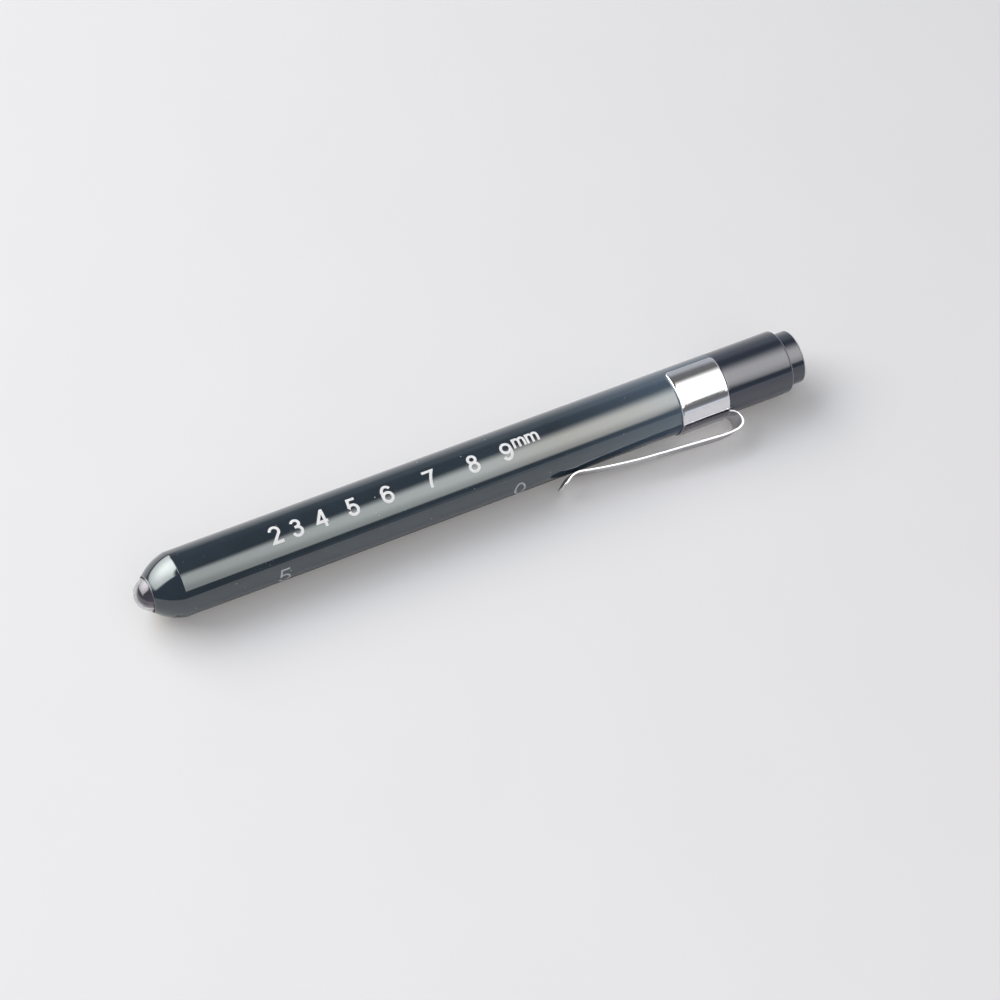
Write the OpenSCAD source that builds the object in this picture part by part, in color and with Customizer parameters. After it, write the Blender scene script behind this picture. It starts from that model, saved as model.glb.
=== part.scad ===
/* [Cells] */
// Diameter of one AAA cell
cell_d = 10.5; // [9.5:0.1:14]
// Length of one cell, from nub to base
cell_length = 44.5; // [40:0.5:48]
// Diameter of the cell's positive nub
nub_d = 3.8; // [3:0.1:5]
// Height of the nub above the can
nub_height = 0.8; // [0.6:0.1:1.2]
// Diameter of the recess in the can that takes the nub's flange
cap_recess_d = 8.4; // [6.5:0.1:9]
// Thickness of the nub's flange
cap_flange_t = 0.3; // [0.2:0.05:0.5]
// Thickness of the seal washer over the flange
washer_t = 0.2; // [0.1:0.05:0.4]
// Thickness of the printed jacket
jacket_t = 0.1; // [0.05:0.01:0.2]
// Height of the can's bare rim at each end of the jacket
jacket_margin = 0.5; // [0.2:0.1:1.5]

/* [Barrel] */
// Radial room between a cell and the barrel
cell_clearance = 0.2; // [0.1:0.05:0.6]
// Wall of the barrel
barrel_wall = 1.05; // [0.9:0.05:2]
// Length of the straight barrel, from its shoulder to its tail end, with standard cells
barrel_length = 115.7; // [112:0.1:122]
// Length of the rounded nose
nose_length = 5.5; // [5:0.1:6.5]
// Diameter of the nose at its rim
nose_rim_d = 7.24; // [7.1:0.02:8]
// Radius of the nose's rounding
nose_arc_r = 10.5; // [8:0.5:14]

/* [Lens and lamp] */
// Diameter of the lens dome
lens_d = 6.7; // [6.2:0.05:6.9]
// Radial gap between the lens and the nose
lens_gap = 0.15; // [0.05:0.05:0.2]
// How far the dome stands out of the nose
lens_protrusion = 2.7; // [2:0.1:3.2]
// Length of the nose's hole in front of the lens flange
lens_land = 3.5; // [3:0.1:4]
// How far the lens flange reaches past the dome
lens_flange_lip = 1.2; // [0.6:0.1:1.4]
// Thickness of the lens flange
lens_flange_t = 1; // [0.6:0.1:1.4]
// Diameter of the lamp's body
led_d = 5; // [4.5:0.1:5.2]
// Length of the lamp in front of its rim
led_body_length = 7.6; // [7:0.1:7.7]
// Diameter of the lamp's rim
led_rim_d = 5.8; // [5.6:0.1:6.4]
// Thickness of the lamp's rim
led_rim_t = 1; // [0.6:0.1:1.4]
// Diameter of one lamp leg
lead_d = 0.5; // [0.4:0.05:0.7]
// Distance between the lamp's legs
lead_pitch = 2.54; // [2:0.02:3]
// Radial room between the lamp and its lens or holder
lamp_gap = 0.15; // [0.05:0.05:0.2]
// Length of the lamp holder
holder_length = 10.4; // [9:0.1:12]
// Depth of the lamp's seat in the holder
led_seat_depth = 2.6; // [2:0.1:3]
// Diameter of the centre contact's head
contact_head_d = 6.6; // [6.4:0.1:8]
// Thickness of the centre contact's head
contact_head_t = 0.6; // [0.4:0.1:0.9]
// Depth of the holder's recess for that head
contact_recess = 1; // [0.9:0.1:1.5]
// Diameter of the centre contact's tip
contact_tip_d = 2.4; // [1.6:0.1:3.6]
// How far the tip stands out of the holder
contact_tip_reach = 1; // [0.6:0.1:1.6]
// Width of the ground leaf
leaf_w = 2; // [1.2:0.1:2.4]
// Thickness of the ground leaf
leaf_t = 0.3; // [0.2:0.05:0.4]
// Length of the leaf along the holder
leaf_length = 4.3; // [3:0.1:5]
// Distance of the leaf's foot behind the lamp
leaf_setback = 3.4; // [2.5:0.1:4]

/* [Tail cap] */
// Step down from the barrel to the cap
cap_step = 0.05; // [0.02:0.01:0.3]
// Length of the tail cap
cap_length = 14.63; // [13:0.01:17]
// Thickness of the cap's rear lip
cap_lip_t = 1.53; // [1:0.01:2]
// Rounding of the cap's rear edge
cap_edge_r = 0.3; // [0.1:0.05:0.5]
// Depth of the thread cut into the barrel's wall
thread_depth = 0.3; // [0.2:0.02:0.5]
// Length of the threaded bore
thread_length = 8.7; // [7:0.1:10]
// Room in front of the collar in that bore
thread_relief = 0.5; // [0.2:0.1:1]
// Radial room in the thread
thread_clearance = 0.05; // [0.02:0.01:0.1]
// Length of the collar inside the cap
collar_seat = 5.3; // [4:0.1:6]
// Wall of the collar
collar_wall = 1.05; // [0.8:0.05:1.3]
// Thickness of the collar's web
web_t = 1.6; // [1:0.1:2]
// Radial room of pieces that are fixed in one another
seat_clearance = 0.03; // [0.01:0.01:0.05]

/* [Switch] */
// Diameter of the button
button_d = 10.8; // [10.4:0.02:10.9]
// How far the button stands out of the cap
button_protrusion = 3.33; // [2.6:0.01:4]
// Radial room between the button and the cap's lip
button_clearance = 0.05; // [0.02:0.01:0.1]
// Rounding of the button's edge
button_edge_r = 0.4; // [0.2:0.05:0.6]
// Thickness of the button's end
button_end_t = 1.76; // [1.2:0.02:2.4]
// Wall of the button
button_wall = 1; // [0.7:0.05:1.4]
// Thickness of the button's flange
button_flange_t = 1.2; // [0.8:0.1:2]
// Travel of the button
button_travel = 1.8; // [1:0.1:2.2]
// Room left between the plunger and the disc when pressed
contact_margin = 0.05; // [0.02:0.01:0.2]
// Diameter of the plunger's stem
plunger_d = 3; // [2:0.1:3.2]
// Radial room of the stem in the collar's web
plunger_clearance = 0.4; // [0.2:0.05:0.6]
// Thickness of the plunger's head
plunger_head_t = 0.5; // [0.4:0.1:0.8]
// Radial room of the plunger's head in the button
plunger_head_gap = 0.2; // [0.1:0.05:0.4]
// Length of the insulating cup
cup_length = 8.5; // [7.5:0.1:9.5]
// Wall of the insulating cup
cup_wall = 0.6; // [0.4:0.05:0.8]
// Thickness of the cup's rear lip
cup_lip_t = 1; // [0.6:0.1:1.4]
// Diameter of the hole in that lip
cup_hole_d = 4.4; // [4:0.1:5]
// Thickness of the contact disc
disc_t = 0.8; // [0.5:0.1:1.2]

/* [Springs] */
// Wire diameter of both springs
wire_d = 0.5; // [0.4:0.05:0.6]
// Coil diameter of the button spring, at the wire's middle
button_coil_d = 6.6; // [5:0.1:7]
// Turns of the button spring
button_turns = 7; // [4:1:9]
// Coil diameter of the battery spring at the disc
battery_coil_d = 7; // [6:0.1:7.2]
// Coil diameter of the battery spring at the cell
battery_coil_small_d = 4.4; // [3.5:0.1:6]
// Turns of the battery spring
battery_turns = 7; // [4:1:9]

/* [Pocket clip] */
// Thickness of the clip's sheet
clip_t = 0.42; // [0.3:0.02:0.6]
// Gap between the band and the barrel
clip_seat_gap = 0.04; // [0.02:0.01:0.06]
// Length of the band along the barrel
band_length = 10.5; // [8:0.5:14]
// Distance of the band from the barrel's tail end
band_inset = 0.2; // [0:0.1:1]
// Angle that the band wraps round the barrel
band_wrap = 272; // [240:2:300]
// Rounding of the band's free corners
band_corner_r = 0.8; // [0.4:0.1:1.5]
// Width of the arm
arm_w = 6; // [4:0.5:7]
// Straight lead-out behind the band
arm_lead = 0.2; // [0.1:0.1:1]
// Inner radius of the arm's turn, at the sheet's middle
turn_r = 1.75; // [1.5:0.05:2.4]
// Radius at the top of the turn
turn_top_r = 1.2; // [1:0.05:1.6]
// Radius where the turn eases into the arm
turn_ease_r = 3.8; // [3:0.1:5]
// Radius of the arm's crown
crown_r = 20; // [15:1:30]
// Length of the arm's flat stretch
arm_flat = 13.8; // [10:0.1:20]
// Radius of the arm's bow
bow_r = 125; // [90:5:180]
// Length of the flat in front of the bow
arm_drop = 2; // [1:0.1:4]
// Radius of the heel that presses on the barrel
heel_r = 3; // [2:0.1:4]
// Radius of the flared tip
flare_r = 29; // [20:1:40]
// Gap between the heel and the barrel
heel_gap = 0.05; // [0.02:0.01:0.1]
// Angle of the arm below the horizontal as the light lies
clip_angle = 24; // [0:1:90]

/* [Hidden] */
$fn = 96;
// How far a cut runs past the face that it opens
overrun = 0.5;

// Length of the standard cell, beyond which longer cells lengthen the barrel
standard_cell_length = 44.5;

// Radii across the light
cell_r = cell_d / 2;
bore_r = cell_r + cell_clearance;
barrel_r = bore_r + barrel_wall;
rim_r = nose_rim_d / 2;
lens_r = lens_d / 2;
nose_hole_r = lens_r + lens_gap;
lens_flange_r = lens_r + lens_flange_lip;
led_r = led_d / 2;
led_rim_r = led_rim_d / 2;
holder_r = bore_r - seat_clearance;
contact_head_r = contact_head_d / 2;
can_r = cell_r - jacket_t - seat_clearance;
cap_recess_r = cap_recess_d / 2;
thread_r = bore_r + thread_depth;
collar_r = thread_r - thread_clearance;
collar_bore_r = collar_r - collar_wall;
cap_r = barrel_r - cap_step;
cap_bore_r = collar_r + seat_clearance;
button_r = button_d / 2;
lip_hole_r = button_r + button_clearance;
button_flange_r = cap_bore_r - button_clearance;
button_recess_r = button_r - button_wall;
plunger_r = plunger_d / 2;
plunger_head_r = button_recess_r - plunger_head_gap;
cup_r = collar_bore_r - seat_clearance;
cup_bore_r = cup_r - cup_wall;
disc_r = cup_bore_r - seat_clearance;
battery_coil_r = battery_coil_d / 2;
button_coil_r = button_coil_d / 2;

// Places along the light, from the barrel's shoulder towards the tail
nose_tip_x = -nose_length;
lens_centre_x = nose_tip_x - lens_protrusion + lens_r;
lens_seat_x = nose_tip_x + lens_land;
holder_x = lens_seat_x + lens_flange_t;
holder_end_x = holder_x + holder_length;
led_seat_x = holder_x + led_seat_depth;
led_base_x = led_seat_x + led_rim_t;
led_dome_x = led_seat_x - led_body_length + led_r;
leaf_x = led_base_x + leaf_setback;
contact_x = holder_end_x - contact_recess;
cells_x = holder_end_x + contact_tip_reach;
cells_end_x = cells_x + 2 * cell_length;
barrel_end_x = barrel_length + 2 * (cell_length - standard_cell_length);
collar_x = barrel_end_x - thread_length + thread_relief;
web_x = collar_x + cup_length;
web_end_x = web_x + web_t;
collar_end_x = barrel_end_x + collar_seat;
disc_end_x = web_x - cup_lip_t;
disc_x = disc_end_x - disc_t;
cap_end_x = barrel_end_x + cap_length;
lip_x = cap_end_x - cap_lip_t;
button_x = lip_x - button_flange_t;
tail_x = cap_end_x + button_protrusion;
plunger_seat_x = tail_x - button_end_t;
plunger_head_x = plunger_seat_x - plunger_head_t;
plunger_x = disc_end_x + button_travel + contact_margin;

// The leaf's outer face, just inside the bore
leaf_reach = sqrt(pow(bore_r - seat_clearance, 2) - pow(leaf_w / 2, 2));

// Middle of the nose's arc, from the rim and the shoulder that it joins
nose_chord = [nose_length, barrel_r - rim_r];
nose_rise = sqrt(pow(nose_arc_r, 2) - pow(norm(nose_chord) / 2, 2));
nose_centre_x = -nose_length / 2 + nose_rise * nose_chord[1] / norm(nose_chord);
nose_centre_r = (barrel_r + rim_r) / 2 - nose_rise * nose_chord[0] / norm(nose_chord);

// The clip's sheet: band radii, and the turns of the arm in degrees
band_r = barrel_r + clip_seat_gap;
band_end_x = barrel_end_x - band_inset;
turn_angle = 90;
turn_top_angle = 60;
turn_ease_angle = 24;
bow_angle = 6.4;
heel_angle = 40;
flare_angle = 9;
turned = turn_angle + turn_top_angle + turn_ease_angle;

// Slope of the arm at which its heel just meets the barrel
sheet_mid = band_r + clip_t / 2;
heel_mid = barrel_r + heel_gap + clip_t / 2;
turn_rise = turn_r * (1 - cos(turn_angle))
    + turn_top_r * (cos(turn_angle) - cos(turn_angle + turn_top_angle))
    + turn_ease_r * (cos(turn_angle + turn_top_angle) - cos(turned));
slope_run = arm_flat + (bow_r + heel_r) * sin(bow_angle) + arm_drop * cos(bow_angle);
slope_drop = bow_r * (1 - cos(bow_angle)) + arm_drop * sin(bow_angle)
    - heel_r * cos(bow_angle) - crown_r;
slope_height = sheet_mid + turn_rise + crown_r * cos(turned) - heel_mid - heel_r;
arm_slope = asin(slope_height / norm([slope_run, slope_drop])) - atan2(slope_drop, slope_run);

// The arm's centreline, each stretch as [radius, turn, straight length]
arm_path = [
    [0, 0, arm_lead],
    [turn_r, turn_angle, 0],
    [turn_top_r, turn_top_angle, 0],
    [turn_ease_r, turn_ease_angle, 0],
    [crown_r, 180 - turned + arm_slope, 0],
    [0, 0, arm_flat],
    [bow_r, bow_angle, 0],
    [0, 0, arm_drop],
    [heel_r, -heel_angle, 0],
    [flare_r, flare_angle, 0]
];

// Puts the middle of the button's end face at the origin
module place() {
    translate([-tail_x, 0, 0]) children();
}

// Stands a shape that is drawn along Z on the light's axis at x
module along_axis(x) {
    translate([x, 0, 0]) rotate([0, 90, 0]) children();
}

// A round bar from x0 to x1
module bar(r, x0, x1) {
    along_axis(x0) cylinder(r = r, h = x1 - x0);
}

// A tube from x0 to x1
module tube(outer_r, inner_r, x0, x1) {
    difference() {
        bar(outer_r, x0, x1);
        bar(inner_r, x0 - overrun, x1 + overrun);
    }
}

// A turned bar whose rear edge is rounded
module rounded_bar(r, x0, x1, edge_r) {
    along_axis(0) rotate_extrude() {
        difference() {
            translate([0, x0]) square([r, x1 - x0]);
            translate([r - edge_r, x1 - edge_r]) difference() {
                square(edge_r + overrun);
                circle(r = edge_r);
            }
        }
    }
}

// The nose's outer shape, a turned arc from the rim to the shoulder
module nose() {
    along_axis(0) rotate_extrude() {
        intersection() {
            translate([0, nose_tip_x]) square([barrel_r, nose_length]);
            translate([nose_centre_r, nose_centre_x]) circle(r = nose_arc_r);
        }
    }
}

module barrel() {
    color("#2b3338") place() difference() {
        union() {
            nose();
            bar(barrel_r, 0, barrel_end_x);
        }
        bar(nose_hole_r, nose_tip_x - overrun, lens_seat_x + overrun);
        bar(lens_flange_r + seat_clearance, lens_seat_x, holder_x + overrun);
        bar(bore_r, holder_x, barrel_end_x + overrun);
        bar(thread_r, barrel_end_x - thread_length, barrel_end_x + overrun);
    }
}

module lens() {
    color("#dfe9ee") place() difference() {
        union() {
            translate([lens_centre_x, 0, 0]) sphere(r = lens_r);
            bar(lens_r, lens_centre_x, holder_x);
            bar(lens_flange_r, lens_seat_x, holder_x);
        }
        translate([led_dome_x - lamp_gap, 0, 0]) sphere(r = led_r + lamp_gap);
        bar(led_r + lamp_gap, led_dome_x - lamp_gap, holder_x + overrun);
    }
}

module led_lamp() {
    color("#f2f0d8") place() {
        translate([led_dome_x, 0, 0]) sphere(r = led_r);
        bar(led_r, led_dome_x, led_base_x);
        bar(led_rim_r, led_seat_x, led_base_x);
    }
}

// One leg of the lamp, on the side that is given, back to x
module lamp_lead(side, x) {
    color("#b9bcc0") place() translate([0, side * lead_pitch / 2, 0]) bar(lead_d / 2, led_base_x, x);
}

module led_anode_lead() {
    lamp_lead(1, contact_x);
}

module led_cathode_lead() {
    lamp_lead(-1, leaf_x);
}

module lamp_holder() {
    color("#efefe8") place() difference() {
        bar(holder_r, holder_x, holder_end_x);
        bar(led_r + lamp_gap, holder_x - overrun, led_seat_x + overrun);
        bar(led_rim_r + seat_clearance, led_seat_x, holder_end_x);
        bar(contact_head_r + seat_clearance, contact_x, holder_end_x + overrun);
        leaf_shape(seat_clearance);
    }
}

module centre_contact() {
    color("#c9a24a") place() {
        bar(contact_head_r, contact_x, contact_x + contact_head_t);
        bar(contact_tip_d / 2, contact_x, cells_x);
    }
}

// The ground leaf's two legs, grown by a room on all sides
module leaf_shape(room) {
    leaf_foot = lead_pitch / 2 - lead_d;
    translate([leaf_x - room, -leaf_reach - room, -leaf_w / 2 - room])
        cube([leaf_t + 2 * room, leaf_reach - leaf_foot + 2 * room, leaf_w + 2 * room]);
    translate([leaf_x + leaf_t - leaf_length - room, -leaf_reach - room, -leaf_w / 2 - room])
        cube([leaf_length + 2 * room, leaf_t + 2 * room, leaf_w + 2 * room]);
}

module ground_leaf() {
    color("#c08a4e") place() leaf_shape(0);
}

// The pieces of one cell, whose nub starts at x
cap_recess_depth = cap_flange_t + washer_t;

module cell_can(x) {
    color("#c4c8cb") place() difference() {
        bar(can_r, x + nub_height, x + cell_length);
        bar(cap_recess_r, x, x + nub_height + cap_recess_depth);
    }
}

module cell_jacket(x) {
    color("#3f6b4a") place()
        tube(cell_r, cell_r - jacket_t, x + nub_height + jacket_margin, x + cell_length - jacket_margin);
}

module cell_cap(x) {
    flange_x = x + nub_height + washer_t;
    color("#d8dadc") place() {
        bar(nub_d / 2, x, flange_x + cap_flange_t);
        bar(cap_recess_r - seat_clearance, flange_x, flange_x + cap_flange_t);
    }
}

module cell_washer(x) {
    color("#e8e4da") place()
        tube(cap_recess_r - seat_clearance, nub_d / 2 + seat_clearance, x + nub_height,
            x + nub_height + washer_t);
}

front_x = cells_x;
rear_x = cells_x + cell_length;

module front_cell_can() {
    cell_can(front_x);
}

module front_cell_jacket() {
    cell_jacket(front_x);
}

module front_cell_cap() {
    cell_cap(front_x);
}

module front_cell_washer() {
    cell_washer(front_x);
}

module rear_cell_can() {
    cell_can(rear_x);
}

module rear_cell_jacket() {
    cell_jacket(rear_x);
}

module rear_cell_cap() {
    cell_cap(rear_x);
}

module rear_cell_washer() {
    cell_washer(rear_x);
}

// A wound wire: rings along its path, and triangles between them
wire_sides = 6;
rings_per_turn = 8;

// Points of a conical coil from x0 to x1, whose ends stand straight for one wire diameter
function coil_path(start_r, end_r, turns, x0, x1) =
    let (
        steps = turns * rings_per_turn,
        wound = x1 - x0 - 2 * wire_d,
        coil = [
            for (i = [0:steps])
                let (along = i / steps, a = 360 * turns * along, r = start_r + (end_r - start_r) * along)
                [x0 + wire_d + wound * along, r * cos(a), r * sin(a)]
        ],
        first = coil[0],
        last = coil[steps]
    )
    concat([[x0, first[1], first[2]]], coil, [[x1, last[1], last[2]]]);

function unit(v) = v / norm(v);

// Direction of the path at point i
function heading(path, i) =
    i == 0 || i == len(path) - 1
        ? [1, 0, 0]
        : unit(unit(path[i + 1] - path[i]) + unit(path[i] - path[i - 1]));

// The wire's rings, each square to the path at its point
function wire_rings(path) = [
    for (i = [0:len(path) - 1])
        let (
            ahead = heading(path, i),
            outward = unit([0, path[i][1], path[i][2]]),
            side = unit(outward - ahead * (outward * ahead)),
            up = cross(ahead, side)
        )
        for (k = [0:wire_sides - 1])
            let (a = 360 * k / wire_sides)
            path[i] + wire_d / 2 * (cos(a) * side + sin(a) * up)
];

// Least distance between the surfaces of neighbouring turns
function self_gap(path) =
    min([for (i = [0:len(path) - 1 - rings_per_turn]) norm(path[i + rings_per_turn] - path[i])]) - wire_d;

module wire(path) {
    last = len(path) - 1;
    polyhedron(
        points = wire_rings(path),
        faces = concat(
            [for (k = [1:wire_sides - 2]) [0, k, k + 1]],
            [for (i = [0:last - 1], k = [0:wire_sides - 1])
                let (m = (k + 1) % wire_sides)
                [i * wire_sides + k, (i + 1) * wire_sides + m, i * wire_sides + m]],
            [for (i = [0:last - 1], k = [0:wire_sides - 1])
                let (m = (k + 1) % wire_sides)
                [i * wire_sides + k, (i + 1) * wire_sides + k, (i + 1) * wire_sides + m]],
            [for (k = [1:wire_sides - 2])
                [last * wire_sides, last * wire_sides + k + 1, last * wire_sides + k]]
        )
    );
}

battery_path = coil_path(battery_coil_small_d / 2, battery_coil_r, battery_turns, cells_end_x, disc_x);
button_path = coil_path(button_coil_r, button_coil_r, button_turns, web_end_x, plunger_head_x);
echo(battery_spring_gap = self_gap(battery_path), button_spring_gap = self_gap(button_path));

module battery_spring() {
    color("#c7cacd") place() wire(battery_path);
}

module contact_disc() {
    color("#c9a24a") place() bar(disc_r, disc_x, disc_end_x);
}

module contact_insulator() {
    color("#e6e2d6") place() difference() {
        bar(cup_r, collar_x, web_x);
        bar(cup_bore_r, collar_x - overrun, disc_end_x);
        bar(cup_hole_d / 2, disc_end_x - overrun, web_x + overrun);
    }
}

module threaded_collar() {
    color("#b8963f") place() difference() {
        bar(collar_r, collar_x, collar_end_x);
        bar(collar_bore_r, collar_x - overrun, web_x);
        bar(plunger_r + plunger_clearance, web_x - overrun, web_end_x + overrun);
        bar(collar_bore_r, web_end_x, collar_end_x + overrun);
    }
}

module tail_cap() {
    color("#26272b") place() difference() {
        rounded_bar(cap_r, barrel_end_x, cap_end_x, cap_edge_r);
        bar(cap_bore_r, barrel_end_x - overrun, lip_x);
        bar(lip_hole_r, lip_x - overrun, cap_end_x + overrun);
    }
}

module push_button() {
    color("#2a2a2e") place() difference() {
        union() {
            rounded_bar(button_r, button_x, tail_x, button_edge_r);
            bar(button_flange_r, button_x, lip_x);
        }
        bar(button_recess_r, button_x - overrun, plunger_seat_x);
    }
}

module contact_plunger() {
    color("#c9a24a") place() {
        bar(plunger_r, plunger_x, plunger_seat_x);
        bar(plunger_head_r, plunger_head_x, plunger_seat_x);
    }
}

module button_spring() {
    color("#c7cacd") place() wire(button_path);
}

// Turns a shape whose +Y points away from the barrel to the clip's side
module on_clip_side() {
    rotate([180 + clip_angle, 0, 0]) children();
}

// Cuts one corner of the band round: x is the band's end, towards is the way into the band
module band_corner(x, towards, side) {
    free_angle = side * band_wrap / 2;
    corner = band_corner_r;
    rotate([free_angle, 0, 0])
        translate([x + towards * corner, 0, -side * corner])
            mirror([towards > 0 ? 1 : 0, 0, 0])
                mirror([0, 0, side > 0 ? 0 : 1])
                    rotate([90, 0, 0])
                        translate([0, 0, -band_r - clip_t - overrun])
                            linear_extrude(clip_t + 2 * overrun)
                                difference() {
                                    square(corner + overrun);
                                    circle(r = corner);
                                }
}

module clip_band() {
    color("#d4d7da") place() on_clip_side() difference() {
        rotate([-band_wrap / 2, 0, 0])
            rotate([0, 0, 90])
                rotate([90, 0, 0])
                    translate([0, 0, band_end_x - band_length])
                        rotate_extrude(angle = band_wrap)
                            translate([band_r, 0]) square([clip_t, band_length]);
        for (side = [-1, 1]) {
            band_corner(band_end_x - band_length, 1, side);
            band_corner(band_end_x, -1, side);
        }
    }
}

// Where a strip gets to from [x, y, heading], after a straight run or a turn of the given radius
function bend(at, radius, turn, run) =
    let (ahead = at[2] + turn, arm = sign(turn) * radius)
    [
        at[0] + run * cos(at[2]) + arm * (sin(ahead) - sin(at[2])),
        at[1] + run * sin(at[2]) - arm * (cos(ahead) - cos(at[2])),
        ahead
    ];

// The strip's centreline as a list of [x, y, heading]
arc_steps = 12;
function trace(path, at, i = 0) =
    i == len(path)
        ? [at]
        : let (radius = path[i][0], turn = path[i][1], run = path[i][2], steps = radius > 0 ? arc_steps : 1)
            concat(
                [for (k = [0:steps - 1]) bend(at, radius, turn * k / steps, run * k / steps)],
                trace(path, bend(at, radius, turn, run), i + 1)
            );

// One face of the strip, at a distance to the left of its centreline
function strip_face(line, aside) = [for (p = line) [p[0] - aside * sin(p[2]), p[1] + aside * cos(p[2])]];

function reverse(list) = [for (i = [len(list) - 1:-1:0]) list[i]];

module clip_arm() {
    line = trace(arm_path, [band_end_x, sheet_mid, 0]);
    outline = concat(strip_face(line, -clip_t / 2), reverse(strip_face(line, clip_t / 2)));
    color("#d4d7da") place() on_clip_side() linear_extrude(arm_w, center = true) polygon(outline);
}

barrel();
lens();
led_lamp();
led_anode_lead();
led_cathode_lead();
lamp_holder();
centre_contact();
ground_leaf();
front_cell_can();
front_cell_jacket();
front_cell_cap();
front_cell_washer();
rear_cell_can();
rear_cell_jacket();
rear_cell_cap();
rear_cell_washer();
battery_spring();
contact_disc();
contact_insulator();
threaded_collar();
tail_cap();
push_button();
contact_plunger();
button_spring();
clip_band();
clip_arm();
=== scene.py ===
import math
import bpy
import bmesh
from mathutils import Matrix, Vector


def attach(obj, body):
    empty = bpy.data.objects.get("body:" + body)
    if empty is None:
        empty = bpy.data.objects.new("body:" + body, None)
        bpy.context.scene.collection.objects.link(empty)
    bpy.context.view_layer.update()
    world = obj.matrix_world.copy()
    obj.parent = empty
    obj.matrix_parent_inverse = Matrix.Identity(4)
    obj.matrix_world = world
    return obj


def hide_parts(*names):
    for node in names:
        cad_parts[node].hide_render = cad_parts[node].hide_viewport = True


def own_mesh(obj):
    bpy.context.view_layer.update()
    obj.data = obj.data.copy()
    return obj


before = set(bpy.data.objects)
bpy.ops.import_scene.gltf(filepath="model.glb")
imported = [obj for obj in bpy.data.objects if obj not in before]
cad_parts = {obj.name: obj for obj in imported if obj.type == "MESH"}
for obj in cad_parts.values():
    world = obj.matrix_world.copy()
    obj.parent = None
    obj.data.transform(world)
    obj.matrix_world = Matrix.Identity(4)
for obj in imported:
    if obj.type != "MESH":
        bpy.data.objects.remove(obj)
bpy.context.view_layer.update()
scene = bpy.context.scene
scene.view_settings.view_transform = "Standard"

# Sizes in millimetres, with x along the light from the barrel's shoulder to the tail, and angles
MM = 0.001
TAIL_X = 133.66
BARREL_R = 6.5
BARREL_END = 115.7
FLOOR_Z = -6.96
CLIP_ANGLE = math.radians(24)
VIEW_ANGLE = math.radians(60)
FINE_TURN = 256


def row(x, y, z):
    """A point given in design millimetres, in the row frame in metres."""
    return Vector(((x - TAIL_X) * MM, y * MM, z * MM))


def smooth(a, b, t):
    """Eases from 0 at a to 1 at b."""
    t = max(0.0, min(1.0, (t - a) / (b - a)))
    return t * t * (3 - 2 * t)


def hump(a, b, c, d, t):
    """Eases up from a to b, and down again from c to d."""
    return smooth(a, b, t) * (1 - smooth(c, d, t))


def spaced(a, b, n):
    """The ends of n even steps from a to b."""
    return [a + (b - a) * k / n for k in range(n + 1)]


def new_object(name, mesh):
    """Links a mesh to the scene under a name."""
    obj = bpy.data.objects.new(name, mesh)
    scene.collection.objects.link(obj)
    return obj


def finish_mesh(bm, name, sharp=35):
    """Turns a bmesh into a smooth object whose sharp edges stay crisp."""
    bmesh.ops.recalc_face_normals(bm, faces=bm.faces[:])
    mesh = bpy.data.meshes.new(name)
    bm.to_mesh(mesh)
    bm.free()
    mesh.polygons.foreach_set("use_smooth", [True] * len(mesh.polygons))
    mesh.set_sharp_from_angle(angle=math.radians(sharp))
    return new_object(name, mesh)


def rounded(points, steps=6):
    """Rounds the corners of an outline whose points are (x, r, corner radius)."""
    out = []
    n = len(points)
    for i, (x, r, radius) in enumerate(points):
        p = Vector((x, r))
        if radius == 0:
            out.append((p.x, p.y))
            continue
        a = (Vector(points[i - 1][:2]) - p).normalized()
        b = (Vector(points[(i + 1) % n][:2]) - p).normalized()
        half = math.acos(max(-1.0, min(1.0, a.dot(b)))) / 2
        reach = radius / math.tan(half)
        centre = p + (a + b).normalized() * radius / math.sin(half)
        first = p + a * reach - centre
        last = p + b * reach - centre
        turn = first.angle_signed(last)
        for k in range(steps + 1):
            q = centre + Matrix.Rotation(-turn * k / steps, 2) @ first
            out.append((q.x, q.y))
    return out


def ring_of(bm, x, r, segments):
    """A ring of points round the light's axis, or one point on it."""
    if r < 1e-6:
        return [bm.verts.new(row(x, 0, 0))]
    ring = []
    for k in range(segments):
        a = 2 * math.pi * k / segments
        ring.append(bm.verts.new(row(x, r * math.cos(a), r * math.sin(a))))
    return ring


def bridge(bm, one, two):
    """Joins two closed rings by faces; either may be a single point."""
    n = max(len(one), len(two))
    if n == 1:
        return
    for k in range(n):
        m = (k + 1) % n
        if len(one) == 1:
            bm.faces.new((one[0], two[m], two[k]))
        elif len(two) == 1:
            bm.faces.new((one[k], one[m], two[0]))
        else:
            bm.faces.new((one[k], one[m], two[m], two[k]))


def bridge_round(bm, rings):
    """Joins each ring to the next, and the last to the first."""
    for i, ring in enumerate(rings):
        bridge(bm, ring, rings[(i + 1) % len(rings)])


def lathe(name, outline, segments):
    """Spins a closed outline of (x, r) round the light's axis."""
    bm = bmesh.new()
    bridge_round(bm, [ring_of(bm, x, r, segments) for x, r in outline])
    return finish_mesh(bm, name)


def arc(cx, cr, radius, x0, x1, steps):
    """Points of an arc over the axis, from x0 to x1."""
    return [(x, cr + math.sqrt(radius * radius - (x - cx) ** 2)) for x in spaced(x0, x1, steps)]


def half_dome(x, radius, steps):
    """Points of a round end, from its tip on the axis to its full radius at x."""
    turns = spaced(0, math.pi / 2, steps)
    return [(x - radius * math.cos(a), radius * math.sin(a)) for a in turns]


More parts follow.
